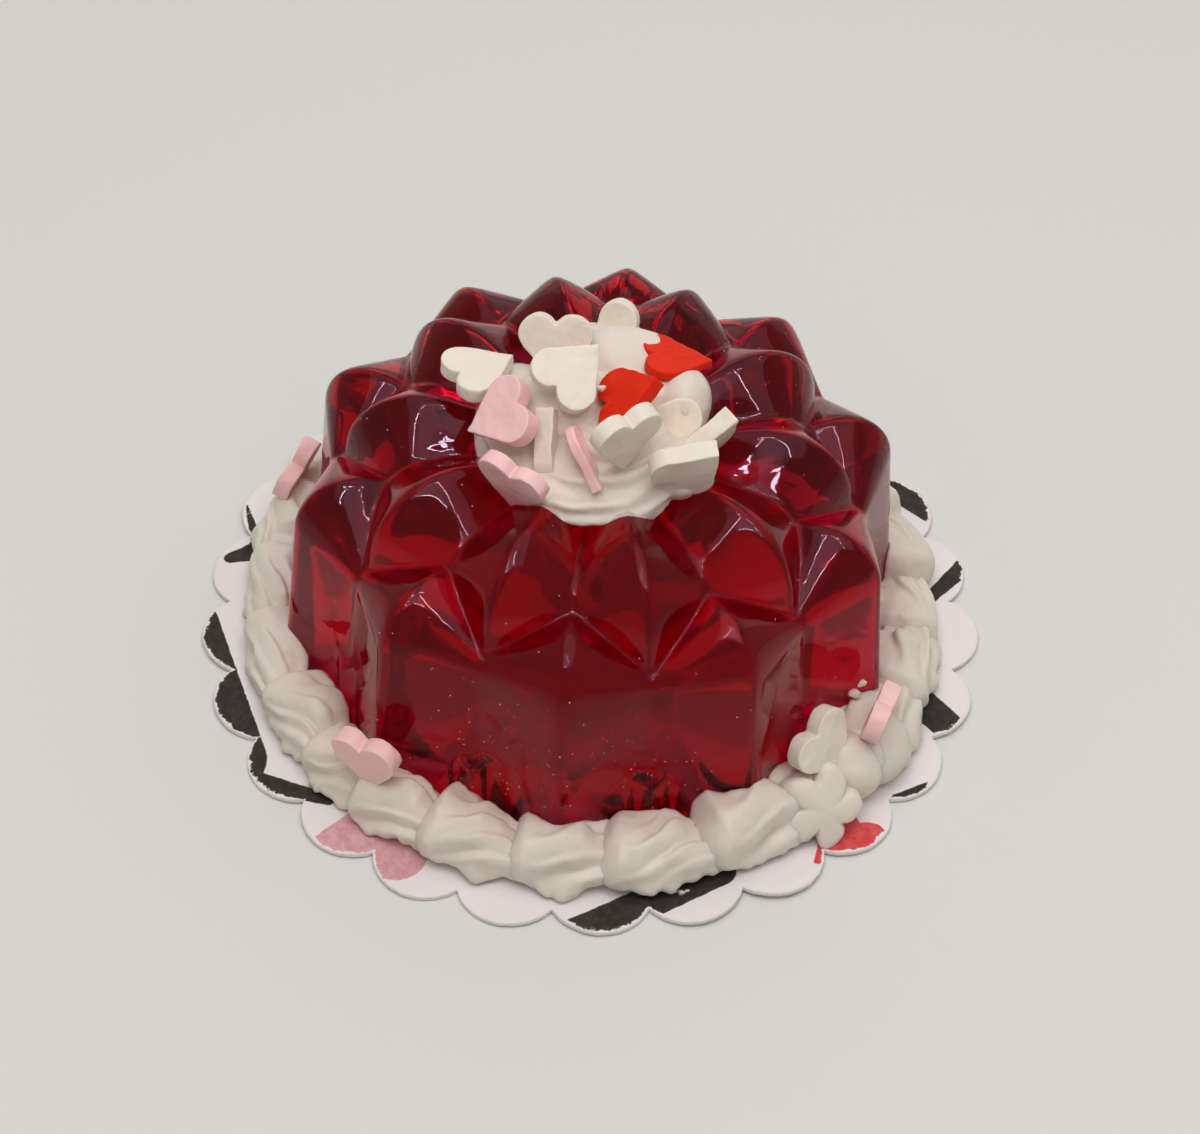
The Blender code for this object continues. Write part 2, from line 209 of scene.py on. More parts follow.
card_board, tree, shader = new_material("printed card")
shader.inputs["Roughness"].default_value = 0.62
shader.inputs["Specular IOR Level"].default_value = 0.35
fibre = grain(tree, 0.35, detail=6, rough=0.7)
cloudy = grain(tree, 6.0)
colour = blend(tree, ramp(tree, cloudy, 0.3, 0.7), (0.85, 0.785, 0.785, 1), (0.82, 0.765, 0.76, 1))
colour = blend(tree, ramp(tree, fibre, 0.55, 0.8), colour, (0.86, 0.80, 0.79, 1))
from_edge = node(tree, "Attribute", attribute_name="from_edge").outputs["Fac"]
ragged = math_node(tree, "SUBTRACT", from_edge, ramp(tree, grain(tree, 0.5, detail=6, rough=0.8), 0.35, 0.75, 0.0, 0.55))
printed = ramp(tree, ragged, 0.0, 0.06)
INK_COLOURS = {"black_ink": ((0.045, 0.036, 0.031, 1), (0.085, 0.07, 0.06, 1)),
               "pink_ink": ((0.66, 0.35, 0.38, 1), (0.78, 0.52, 0.54, 1)),
               "red_ink": ((0.71, 0.075, 0.085, 1), (0.75, 0.19, 0.19, 1))}
for ink, (deep, worn) in INK_COLOURS.items():
    field = node(tree, "Attribute", attribute_name=ink).outputs["Fac"]
    field = math_node(tree, "ADD", field, ramp(tree, fibre, 0.3, 0.7, -0.05, 0.05))
    inked = math_node(tree, "MULTIPLY", ramp(tree, field, 0.04, -0.04), printed)
    shade = blend(tree, ramp(tree, fibre, 0.42, 0.75), deep, worn)
    colour = blend(tree, inked, colour, shade)
tree.links.new(colour, shader.inputs["Base Color"])
bump(tree, shader, fibre, 0.03, 0.5)
card.data.materials.append(card_board)
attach(card, "root")
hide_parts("card")


# --- Moulded jelly -------------------------------------------------------------------
# The body of the toy: clear red resin cast in a mould like a crown, two rings of ten
# pointed lobes with sharp ridges. It is glossy and so deep a red that only thin parts glow.

LOBES = 10
PITCH = math.radians(360 / LOBES)
OUTER_RIDGE = math.radians(-94.6)
INNER_RIDGE = OUTER_RIDGE + PITCH / 2
CORE_HEIGHT = 9.0
OUTER_RING = {"ridge": OUTER_RIDGE, "radius": 22.9, "draft": 4.8, "height": 18.4, "shoulder": 4.3,
              "fall": 22.0, "flank": 0.63}
INNER_RING = {"ridge": INNER_RIDGE, "radius": 20.8, "draft": 9.5, "height": 21.8, "shoulder": 5.9,
              "fall": 15.0, "flank": 0.72}
RIDGE_ROUNDING = 0.50
CREASE_FILLET = 0.15
COLUMNS_PER_FLANK = 24
ROWS_ON_WALL = 90
ROWS_ON_TOP = 110


def depth_in_profile(ring, x, z):
    """How far inside a ridge's own line the points (x, z) of its plane lie."""
    draft = math.radians(ring["draft"])
    fall = math.radians(ring["fall"])
    shoulder = ring["shoulder"]
    centre_z = ring["height"] - shoulder
    centre_x = ring["radius"] - centre_z * math.tan(draft) - shoulder / math.cos(draft)
    dx = x - centre_x
    dz = z - centre_z
    on_round = (dz * math.cos(draft) > dx * math.sin(draft)) & (dx * math.cos(fall) > -dz * math.sin(fall))
    beyond_wall = dx * math.cos(draft) + dz * math.sin(draft)
    beyond_top = dz * math.cos(fall) - dx * math.sin(fall)
    return shoulder - np.where(on_round, np.hypot(dx, dz), np.maximum(beyond_wall, beyond_top))


def depth_in_ring(ring, radius, azimuth, z):
    """Depth inside one ring of lobes, its ridges rounded and its creases filled a little."""
    nearest = (azimuth - ring["ridge"] + PITCH / 2) % PITCH - PITCH / 2
    total = 0.0
    for step in (-1, 0, 1):
        swing = nearest - step * PITCH
        side = np.sqrt((radius * np.sin(swing)) ** 2 + RIDGE_ROUNDING ** 2) - RIDGE_ROUNDING
        depth = depth_in_profile(ring, radius * np.cos(swing), z) - ring["flank"] * side
        total = total + np.exp(np.clip(depth / CREASE_FILLET, -60, 60))
    return CREASE_FILLET * np.log(total)


def depth_in_jelly(radius, azimuth, z):
    outer = depth_in_ring(OUTER_RING, radius, azimuth, z)
    inner = depth_in_ring(INNER_RING, radius, azimuth, z)
    larger = np.maximum(outer, inner)
    return larger + CREASE_FILLET * np.log1p(np.exp(-np.abs(outer - inner) / CREASE_FILLET))


def length_to_surface(depth, azimuth, lift):
    """Length of a ray from the middle of the jelly to its surface."""
    low = np.zeros_like(azimuth + lift)
    high = low + 40.0
    for _ in range(34):
        middle = (low + high) / 2
        inside = depth(middle * np.cos(lift), azimuth, CORE_HEIGHT + middle * np.sin(lift)) > 0
        low = np.where(inside, middle, low)
        high = np.where(inside, high, middle)
    return low


def crest_lifts(azimuth):
    """Lift of the ray that meets the line where the outer lobes run into the inner ones."""
    lifts = np.radians(np.linspace(84, 1, 250))[None, :]
    outer = length_to_surface(lambda r, a, z: depth_in_ring(OUTER_RING, r, a, z), azimuth[:, None], lifts)
    inner = length_to_surface(lambda r, a, z: depth_in_ring(INNER_RING, r, a, z), azimuth[:, None], lifts)
    return lifts[0, np.argmax(outer > inner, axis=1)]


def crowded(count, pull):
    """Steps from 0 to 1 that crowd together at both ends."""
    even = np.linspace(0, 1, count + 1)
    return even - pull * np.sin(2 * np.pi * even) / (2 * np.pi)


JELLY_FOOT = CARD_TOP - 0.02
flank_steps = crowded(COLUMNS_PER_FLANK, 0.86)[:-1] * PITCH / 2
azimuths = np.concatenate([OUTER_RIDGE + flank * PITCH / 2 + flank_steps for flank in range(2 * LOBES)])
crests = crest_lifts(azimuths)
foot_radius = length_to_surface(lambda r, a, z: depth_in_jelly(r, a, z - CORE_HEIGHT + JELLY_FOOT), azimuths, 0 * azimuths)
foot_lift = np.arctan2(JELLY_FOOT - CORE_HEIGHT, foot_radius)
wall = crowded(ROWS_ON_WALL, 0.55)[None, :]
top = crowded(ROWS_ON_TOP, 0.55)[None, 1:-1]
lifts = np.concatenate([foot_lift[:, None] + (crests - foot_lift)[:, None] * wall,
                        crests[:, None] + (math.pi / 2 - crests)[:, None] * top], axis=1)
lengths = length_to_surface(depth_in_jelly, azimuths[:, None], lifts)
radii = lengths * np.cos(lifts)
heights = np.maximum(CORE_HEIGHT + lengths * np.sin(lifts), JELLY_FOOT)
columns, rows = radii.shape
jelly_points = np.stack([radii * np.cos(azimuths)[:, None], radii * np.sin(azimuths)[:, None], heights], axis=-1)
jelly_points = jelly_points.reshape(-1, 3)
jelly_faces = ring_of_quads(columns, rows)
pole = len(jelly_points)
pole_height = CORE_HEIGHT + float(length_to_surface(depth_in_jelly, np.array([0.0]), np.array([math.pi / 2]))[0])
jelly_points = np.vstack([jelly_points, [(0, 0, pole_height), (0, 0, JELLY_FOOT)]])
for column in range(columns):
    here = column * rows
    beside = (column + 1) % columns * rows
    jelly_faces.append((here + rows - 1, beside + rows - 1, pole))
    jelly_faces.append((beside, here, pole + 1))
jelly = mesh_piece("jelly_body", jelly_points, jelly_faces)
jelly.data.set_sharp_from_angle(angle=math.radians(70))

red_resin, tree, shader = new_material("red jelly resin")
shader.inputs["Base Color"].default_value = (1.0, 0.97, 0.97, 1)
shader.inputs["Roughness"].default_value = 0.015
shader.inputs["IOR"].default_value = 1.42
shader.inputs["Specular Tint"].default_value = (0.86, 0.80, 1.0, 1)
shader.inputs["Transmission Weight"].default_value = 1.0
slow_waves = ramp(tree, grain(tree, 7.0, detail=1), 0.3, 0.7)
shrink_marks = ramp(tree, grain(tree, 1.6, detail=3), 0.45, 0.75)
relief = math_node(tree, "ADD", slow_waves, math_node(tree, "MULTIPLY", shrink_marks, 0.12))
bump(tree, shader, relief, 0.14, 0.6)
dye = node(tree, "VolumeAbsorption", {"Color": (0.932, 0.0, 0.52, 1), "Density": 250.0})
tree.links.new(dye.outputs[0], tree.nodes["Material Output"].inputs["Volume"])
jelly.data.materials.append(red_resin)
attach(jelly, "root")
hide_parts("jelly")


# --- Glue ----------------------------------------------------------------------------
# A film of clear glue holds the jelly's flat foot on the white card. It is smeary in the
# middle and glossier towards the rim, and at the front it has come away under each crease
# of the wall, in arches that are bright as a mirror.

GLUE_RIM = 0.35
GLUE_HEIGHT = 0.05
ARCH_MIDDLE = 16.5
ARCH_REACH = 6.5
ARCH_HALF_WIDTH = 4.1
rim_radius = foot_radius - GLUE_RIM
glue_points = [(reach * math.cos(turn), reach * math.sin(turn), CARD_TOP + GLUE_HEIGHT)
               for reach, turn in zip(rim_radius, azimuths)]
glue_points.append((0, 0, CARD_TOP + GLUE_HEIGHT))
glue_faces = [(step, (step + 1) % len(azimuths), len(azimuths)) for step in range(len(azimuths))]
glue = mesh_piece("glue_film", glue_points, glue_faces)
clear_glue, tree, shader = new_material("glossy glue on card")
place = node(tree, "TexCoord").outputs["Object"]
from_middle = node(tree, "VectorMath", {0: place}, operation="LENGTH").outputs["Value"]
towards_rim = math_node(tree, "MULTIPLY", ramp(tree, from_middle, 6 * MM, 13 * MM), 0.30)
from_front = node(tree, "SeparateXYZ", {"Vector": place}).outputs["Y"]
at_front = ramp(tree, from_front, -7 * MM, -11 * MM, 0.0, 0.75)
lifted = 0.0
for crease in range(LOBES):
    turn = OUTER_RIDGE + (crease + 0.5) * PITCH
    arch = Vector((ARCH_MIDDLE * math.cos(turn), ARCH_MIDDLE * math.sin(turn), CARD_TOP + GLUE_HEIGHT)) * MM
    values = {"Vector": place, "Location": arch, "Rotation": (0, 0, turn),
              "Scale": (ARCH_REACH * MM, ARCH_HALF_WIDTH * MM, 1.0)}
    inside = node(tree, "Mapping", values, vector_type="TEXTURE").outputs["Vector"]
    away = node(tree, "VectorMath", {0: inside}, operation="LENGTH").outputs["Value"]
    lifted = math_node(tree, "MAXIMUM", ramp(tree, away, 1.0, 0.8), lifted)
lifted = math_node(tree, "MULTIPLY", lifted, at_front)
tree.links.new(math_node(tree, "ADD", towards_rim, lifted), shader.inputs["Metallic"])
smeary = ramp(tree, grain(tree, 4.0), 0.3, 0.7)
tree.links.new(blend(tree, smeary, (0.64, 0.59, 0.59, 1), (0.72, 0.66, 0.66, 1)), shader.inputs["Base Color"])
tree.links.new(ramp(tree, smeary, 0.0, 1.0, 0.02, 0.05), shader.inputs["Roughness"])
shader.inputs["Coat Weight"].default_value = 1.0
shader.inputs["Coat IOR"].default_value = 2.2
shader.inputs["Coat Roughness"].default_value = 0.02
glue.data.materials.append(clear_glue)
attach(glue, "root")


# --- Piped border --------------------------------------------------------------------
# Off-white modelling cream, squeezed through a star nozzle round the foot of the jelly in
# short shells. Each fat head covers the thin tail of the shell before it, and the lower
# edges are ragged where the cream was dragged over the card.

BORDER_MIDDLE = 23.6
SHELLS = (                   # azimuth of the head in degrees, how fat, shift outwards
    (-131, 0.94, 0.2), (-117, 1.04, 0.0), (-101.5, 1.02, 0.0), (-86, 0.98, 0.1), (-69, 1.14, -0.2),
    (-38, 1.10, 0.1), (-20, 1.00, -0.2), (-5, 0.92, 0.0), (9, 1.00, 0.1), (24, 1.05, -0.1),
    (38, 0.95, 0.0), (53, 1.02, 0.1), (68, 1.00, 0.0), (83, 1.05, -0.1), (97, 0.97, 0.1), (112, 1.0, 0.0),
    (127, 1.05, 0.0), (142, 0.98, 0.1), (156, 1.00, 0.0), (171, 0.90, 0.1), (187, 0.86, 0.1),
    (203, 0.92, 0.0), (217, 0.88, 0.1))
SHELL_OVERLAP = 4.5          # degrees that a tail runs on under the next head
SHELL_HALF_WIDTH = 2.35
SHELL_HALF_HEIGHT = 2.25
PRESSED_TO_JELLY = 1.45      # how much further a shell reaches inwards than outwards
SHELL_ROWS = 64
SHELL_AROUND = 60
border_random = np.random.default_rng(11)


def closed_tube(sections):
    """A closed lump from a list of rings of points, all of the same count."""
    rings, around, _ = sections.shape
    points = np.vstack([sections.reshape(-1, 3), sections[0].mean(axis=0), sections[-1].mean(axis=0)])
    faces = []
    for ring in range(rings - 1):
        for step in range(around):
            beside = (step + 1) % around
            faces.append((ring * around + step, ring * around + beside,
                          (ring + 1) * around + beside, (ring + 1) * around + step))
    for step in range(around):
        beside = (step + 1) % around
        faces.append((beside, step, rings * around))
        faces.append(((rings - 1) * around + step, (rings - 1) * around + beside, rings * around + 1))
    return points, faces


def dense_on_top(count):
    """Angles round a shell, close together where it is seen and wide apart underneath."""
    seen = np.linspace(-0.95, 2.75, count - 8)
    under = np.linspace(2.75, 2 * math.pi - 0.95, 10)[1:-1]
    return np.concatenate([seen, under])


def fold(around, line, steep, gentle):
    """A crease along a shell: the cream drops steeply on one side and rises gently on the other."""
    away = (around - line + math.pi) % (2 * math.pi) - math.pi
    return np.exp(-(away / np.where(away < 0, steep, gentle)) ** 2)


def piped_shell(head, tail, fat, shift):
    """One shell from its fat head to its thin tail, both azimuths in degrees."""
    along = np.linspace(0, 1, SHELL_ROWS) ** 1.1
    around = dense_on_top(SHELL_AROUND)[None, :]
    azimuth = np.radians(head + (tail - head) * along)
    out = np.stack([np.cos(azimuth), np.sin(azimuth), 0 * azimuth], axis=-1)
    rise = np.sqrt(1 - (1 - np.clip(along / 0.17, 0, 1)) ** 2)
    thin = np.clip((along - border_random.uniform(0.45, 0.6)) / 0.4, 0, 1)
    size = 0.02 + 0.98 * rise * (1 - 0.30 * thin ** 1.3)
    cliff = 0.30 * np.clip((along - border_random.uniform(0.60, 0.70)) / 0.10, 0, 1)
    bulge = 0.14 * np.exp(-((along - border_random.uniform(0.42, 0.55)) / 0.13) ** 2)
    reach = size[:, None] * (1 + (bulge - cliff)[:, None] * np.exp(-((around - 1.9) / 0.75) ** 2))
    twist = border_random.uniform(0.25, 0.75)
    starts = np.clip((along - 0.16) / 0.30, 0, 1)
    for middle in (0.12, 0.92, 1.75, 2.5):
        line = middle + border_random.uniform(-0.22, 0.22) + twist * np.tanh((along - 0.45) / 0.22)
        deep = border_random.uniform(0.14, 0.36) * starts * (1 - 0.35 * thin)
        reach = reach * (1 - deep[:, None] * fold(around, line[:, None], 0.13, 0.62))
    slow = np.array([noise.noise(Vector((head * 3.1, share * 3.2, 0.0))) for share in along])
    quick = np.array([noise.noise(Vector((head * 1.7, share * 11.0, 4.0))) for share in along])
    lip = np.clip(0.24 + 0.42 * slow + 0.16 * quick, 0.02, 0.55) * np.clip((along - 0.08) / 0.35, 0, 1) * size
    below = around + 0.52
    reach = reach + lip[:, None] * np.exp(-(below / np.where(below < 0, 0.13, 0.30)) ** 2)
    inner_lip = np.clip(0.10 + 0.35 * np.roll(slow, 17), 0, 0.25) * starts * size
    reach = reach + inner_lip[:, None] * np.exp(-((around - 2.45) / 0.16) ** 2)
    half_height = SHELL_HALF_HEIGHT * fat * border_random.uniform(0.94, 1.08)
    radius = BORDER_MIDDLE + shift + border_random.uniform(-0.6, 0.2) * along
    path = out * radius[:, None]
    path[:, 2] = CARD_TOP + half_height * (0.22 + 0.62 * size)
    side_reach = (reach * np.cos(around)) * SHELL_HALF_WIDTH * fat
    side_reach = np.where(side_reach < 0, side_reach * PRESSED_TO_JELLY, side_reach)
    points = path[:, None, :] + out[:, None, :] * side_reach[:, :, None]
    points[:, :, 2] += (reach * np.sin(around)) * half_height
    return closed_tube(points)


def star_blob(place, axis, length, radius, sides, groove, turn):
    """A short end of cream with the nozzle's star showing, pointing along its axis."""
    along = np.linspace(0, 1, 36)[:, None]
    around = np.linspace(0, 2 * math.pi, 60, endpoint=False)[None, :]
    axis = np.array(axis, dtype=float) / np.linalg.norm(axis)
    across = np.cross(axis, (0.0, 0.0, 1.0))
    across /= np.linalg.norm(across)
    size = 0.05 + 0.95 * np.clip(1 - np.abs(2 * along - 1) ** 8, 0, 1) ** 0.5
    petals = np.abs(np.cos(sides / 2 * (around - turn - 0.6 * along))) ** 0.75
    reach = radius * size * (1 - groove * (1 - petals))
    middle = np.array(place, dtype=float) + length * (along - 0.5) * axis
    return closed_tube(middle[:, None, :] + (reach * np.cos(around))[:, :, None] * across
                       + (reach * np.sin(around))[:, :, None] * np.cross(across, axis))


def lump(place, radii):
    """A plain rounded lump of cream."""
    across = np.linspace(0, 2 * math.pi, 40, endpoint=False)
    rise = np.sin(np.linspace(-1.45, 1.45, 22))
    ring = np.sqrt(1 - rise ** 2)[:, None]
    sections = np.stack([ring * np.cos(across), ring * np.sin(across), np.repeat(rise[:, None], 40, axis=1)], axis=-1)
    return closed_tube(sections * radii + np.array(place, dtype=float))


def keep_off_jelly(points, clearance):
    """Points of cream moved straight out of the jelly's wall, onto its outside."""
    radius = np.hypot(points[:, 0], points[:, 1])
    azimuth = np.arctan2(points[:, 1], points[:, 0])
    near = radius < 23.5
    level = np.clip(points[near, 2], JELLY_FOOT, None) - CORE_HEIGHT
    wall = length_to_surface(lambda r, a, z: depth_in_jelly(r, a, z + level), azimuth[near], 0 * azimuth[near])
    moved = radius.copy()
    moved[near] = np.maximum(radius[near], wall + clearance)
    return points * np.stack([moved / radius, moved / radius, np.ones_like(radius)], axis=-1)


def joined(lumps):
    points = []
    faces = []
    for lump_points, lump_faces in lumps:
        faces += [tuple(len(points) + corner for corner in face) for face in lump_faces]
        points += [tuple(point) for point in lump_points]
    return np.array(points), faces


def kneaded(points, amount, scale, seed):
    """Points pushed about by smooth noise, so that no two lumps are alike."""
    push = np.stack([ripple(points, scale, seed + axis) for axis in range(3)], axis=-1)
    return points + amount * push


shells = []
for (head, fat, shift), (following, _, _) in zip(SHELLS, SHELLS[1:] + ((SHELLS[0][0] + 360, 0, 0),)):
    tail = min(following, head + 18) + SHELL_OVERLAP
    shells.append(piped_shell(head - 1.0, tail, fat, shift))
shells.append(star_blob((16.3, -18.0, 2.2), (0.3, -0.8, 0.6), 4.0, 3.2, 5, 0.46, 0.3))
shells.append(star_blob((14.8, -17.2, 2.2), (1.0, 0.5, 0.1), 4.6, 2.3, 6, 0.25, 0.9))
shells.append(lump((18.2, -14.9, 2.6), (2.9, 2.6, 2.7)))
shells.append(lump((20.4, -12.6, 2.5), (2.8, 3.0, 2.6)))
border_points, border_faces = joined(shells)
border_points = kneaded(border_points, 0.34, 4.0, 5)
border_points = kneaded(border_points, 0.16, 1.6, 15)
border_points = kneaded(border_points, 0.05, 0.6, 25)
border_points[:, 2] = np.maximum(border_points[:, 2], CARD_TOP + 0.02)
border_points = keep_off_jelly(border_points, 0.02)
border = mesh_piece("cream_border_piped", border_points, border_faces)

cream, tree, shader = new_material("modelling cream")
shader.inputs["Subsurface Weight"].default_value = 0.25
shader.inputs["Subsurface Radius"].default_value = (1.0, 0.7, 0.5)
shader.inputs["Subsurface Scale"].default_value = 0.0006
shader.inputs["Specular IOR Level"].default_value = 0.45
cloudy = ramp(tree, grain(tree, 3.0), 0.3, 0.7)
cream_colour = blend(tree, cloudy, (0.75, 0.685, 0.60, 1), (0.80, 0.735, 0.66, 1))
tree.links.new(cream_colour, shader.inputs["Base Color"])
tree.links.new(ramp(tree, grain(tree, 1.2), 0.3, 0.7, 0.36, 0.52), shader.inputs["Roughness"])
bump(tree, shader, grain(tree, 0.5, detail=5, rough=0.6), 0.05, 0.35)
border.data.materials.append(cream)
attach(border, "root")
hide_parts("cream_border")


# --- Cream dollop --------------------------------------------------------------------
# The same modelling cream, dropped into the hollow in the jelly's top and pushed about by
# the slices set into it. It bulges out at the front in soft folds, is smeared up against
# the slices at the back and stands up in one smooth lump at the right.

DOLLOP_VOXEL = 0.16
dollop_low, dollop_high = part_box("cream_top")
DOLLOP_FOOT = dollop_low[2] / MM + 0.8


def moulded(name, lumps, voxel, melt):
    """One skin over overlapping closed lumps, melted together; points and faces in millimetres."""
    points, faces = joined(lumps)
    mesh = bpy.data.meshes.new(name)
    mesh.from_pydata(points.tolist(), [], faces)
    rough = bpy.data.objects.new(name, mesh)
    bpy.context.scene.collection.objects.link(rough)
    skin = rough.modifiers.new("skin", "REMESH")
    skin.mode = "VOXEL"
    skin.voxel_size = voxel
    if melt:
        melted = rough.modifiers.new("melt", "SMOOTH")
        melted.factor = 0.5
        melted.iterations = melt
    made = bpy.data.meshes.new_from_object(rough.evaluated_get(bpy.context.evaluated_depsgraph_get()))
    coordinates = np.empty(len(made.vertices) * 3)
    made.vertices.foreach_get("co", coordinates)
    normals = np.empty(len(made.vertices) * 3)
    made.vertices.foreach_get("normal", normals)
    skin_faces = [tuple(polygon.vertices) for polygon in made.polygons]
    bpy.data.objects.remove(rough)
    bpy.data.meshes.remove(mesh)
    bpy.data.meshes.remove(made)
    return coordinates.reshape(-1, 3), normals.reshape(-1, 3), skin_faces


def heap(place, radius, height, fullness):
    """A round heap on a flat foot, its top height above its place."""
    across = np.linspace(0, 2 * math.pi, 72, endpoint=False)
    share = np.concatenate([np.linspace(0.15, 1.0, 6), np.linspace(1.0, 0.10, 18)])
    rise = np.concatenate([np.full(6, -0.6), height * (1 - share[6:] ** fullness)])
    sections = np.stack([radius * share[:, None] * np.cos(across), radius * share[:, None] * np.sin(across),
                         np.repeat(rise[:, None], 72, axis=1)], axis=-1)
    return closed_tube(sections + np.array(place, dtype=float))


def soft_fold(first, last, radius, height, thick, turn):
    """A soft fold that runs round the dollop between two azimuths, in degrees, with creases along it."""
    along = np.linspace(0, 1, 60)
    around = np.linspace(0, 2 * math.pi, 60, endpoint=False)[None, :]
    azimuth = np.radians(first + (last - first) * along)
    out = np.stack([np.cos(azimuth), np.sin(azimuth), 0 * azimuth], axis=-1)
    size = 0.03 + np.sin(math.pi * np.clip(along, 0.005, 0.995)) ** 0.6
    path = out * np.interp(along, [0, 0.5, 1], radius)[:, None]
    path[:, 2] = np.interp(along, [0, 0.5, 1], height)
    reach = size[:, None] * (0.84 + 0.16 * np.cos(5 * (around - turn - 1.2 * along[:, None])))
    points = path[:, None, :] + out[:, None, :] * (reach * np.cos(around) * thick)[:, :, None]
    points[:, :, 2] += reach * np.sin(around) * thick * 0.8
    return closed_tube(points)


dollop_lumps = [
    heap((-0.6, -0.3, DOLLOP_FOOT), 8.2, 3.1, 3.0),
    soft_fold(-165, -35, (7.4, 7.9, 7.6), (20.6, 20.5, 21.2), 1.45, 0.4),
    soft_fold(-125, -15, (6.3, 6.6, 6.4), (21.5, 21.6, 22.2), 1.5, 2.0),
    soft_fold(-105, -50, (8.2, 8.5, 8.1), (20.3, 20.0, 20.5), 0.9, 1.0),
    soft_fold(140, 215, (7.0, 7.3, 7.2), (20.8, 20.8, 20.8), 1.3, 0.7),
    soft_fold(60, 130, (6.6, 7.0, 6.6), (22.0, 22.3, 22.0), 1.5, 0.9),
    lump((1.6, 4.6, 23.2), (3.6, 2.6, 1.7)), lump((3.2, 1.8, 22.6), (3.4, 3.0, 1.9)),
    lump((5.6, 1.2, 22.2), (2.3, 2.9, 2.6)), lump((5.6, -4.6, 21.6), (2.5, 2.4, 2.0)),
    lump((-2.4, -0.2, 22.9), (4.2, 3.2, 1.9)), lump((1.6, -3.0, 22.4), (3.4, 2.6, 2.0)),
    lump((-5.6, 1.0, 22.0), (3.0, 3.0, 1.6))]
dollop_points, dollop_normals, dollop_faces = moulded("dollop", dollop_lumps, DOLLOP_VOXEL, 5)
dollop_points = kneaded(dollop_points, 0.30, 3.2, 31)
dollop_points = kneaded(dollop_points, 0.07, 0.9, 35)
radius = np.hypot(dollop_points[:, 0], dollop_points[:, 1])
azimuth = np.arctan2(dollop_points[:, 1], dollop_points[:, 0])
low = np.full(len(radius), 15.0)
high = np.full(len(radius), 25.0)
for _ in range(24):
    middle = (low + high) / 2
    inside = depth_in_jelly(radius, azimuth, middle) > 0
    low = np.where(inside, middle, low)
    high = np.where(inside, high, middle)
dollop_points[:, 2] = np.maximum(dollop_points[:, 2], low + 0.02)
dollop = mesh_piece("cream_dollop", dollop_points, dollop_faces)
dollop.data.materials.append(cream)
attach(dollop, "root")
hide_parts("cream_top")


# --- Heart slices --------------------------------------------------------------------
# Slices of white, pink and red polymer clay, cut by hand from heart-shaped canes and baked.
# They are stuck into the cream, with crisp edges, flat faces and a little dust on them.

LOBE_SHARE = 0.27            # radius of each lobe of a heart as a share of its width
SLICE_VOXEL = 0.11


def heart_outline(width, length):
    """A heart with its point down, as a list of places."""
    lobe = width * LOBE_SHARE
    lobe_x = width / 2 - lobe
    lobe_y = length / 2 - lobe
    to_lobe = math.atan2(lobe_y + length / 2, lobe_x)
    first = to_lobe - math.asin(lobe / math.hypot(lobe_x, lobe_y + length / 2)) - math.pi / 2
    last = math.pi - math.acos(lobe_x / lobe)
    half = [(lobe_x + lobe * math.cos(angle), lobe_y + lobe * math.sin(angle)) for angle in np.linspace(first, last, 24)]
    return [(0.0, -length / 2)] + half + [(-x, y) for x, y in reversed(half[:-1])]


def slice_place(cad_node):
    """Middle, axes (across, up, face) and size of a slice, read from its solid."""
    corners = np.array([vertex.co for vertex in cad_node.data.vertices]) / MM
    corners = np.unique(corners.round(3), axis=0)
    middle = corners.mean(axis=0)
    face = np.linalg.svd(corners - middle)[2][2]
    flat = (corners - middle) - np.outer((corners - middle) @ face, face)
    tip = flat[np.argmax(np.linalg.norm(flat, axis=1))]
    up = -tip / np.linalg.norm(tip)
    across = np.cross(up, face)
    axes = np.stack([across, up, face])
    reach = (corners - middle) @ axes.T
    middle = middle + (reach.max(axis=0) + reach.min(axis=0)) / 2 @ axes
    return middle, axes, reach.max(axis=0) - reach.min(axis=0)


def clay_slice(name, seed):
    middle, axes, size = slice_place(frame["nodes"][name])
    outline = heart_outline(size[0] - 0.06, size[1] - 0.06)
    count = len(outline)
    points = [(x, y, side * (size[2] / 2 - 0.02)) for side in (-1, 1) for x, y in outline]
    faces = [tuple(reversed(range(count))), tuple(range(count, 2 * count))]
    faces += [(i, (i + 1) % count, count + (i + 1) % count, count + i) for i in range(count)]
    skin, normals, skin_faces = moulded(name, [(points, faces)], SLICE_VOXEL, 4)
    skin = skin * (size - 0.04) / (skin.max(axis=0) - skin.min(axis=0))
    skin = kneaded(skin, 0.12, 1.8, seed) - normals * 0.03
    skin = kneaded(skin, 0.03, 0.5, seed + 9)
    piece = mesh_piece(name + "_slice", skin @ axes + middle, skin_faces)
    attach(piece, "root")
    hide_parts(name)
    return piece


def clay(name, pale, deep, specks, shine):
    """Baked clay of one colour, satin, with faint clouds and a few specks of dust."""
    material, tree, shader = new_material(name)
    shader.inputs["Subsurface Weight"].default_value = 0.2
    shader.inputs["Specular IOR Level"].default_value = shine
    shader.inputs["Subsurface Radius"].default_value = (1.0, 0.6, 0.4)
    shader.inputs["Subsurface Scale"].default_value = 0.0005
    colour = blend(tree, ramp(tree, grain(tree, 2.0), 0.3, 0.7), pale, deep)
    dust = ramp(tree, grain(tree, 0.45, kind="Voronoi"), 0.07, 0.03)
    sparse = ramp(tree, grain(tree, 2.5, detail=1), 0.60, 0.64)
    colour = blend(tree, math_node(tree, "MULTIPLY", dust, sparse), colour, specks)
    tree.links.new(colour, shader.inputs["Base Color"])
    tree.links.new(ramp(tree, grain(tree, 0.8), 0.3, 0.7, 0.38, 0.55), shader.inputs["Roughness"])
    bump(tree, shader, grain(tree, 0.3, detail=4), 0.03, 0.3)
    return material


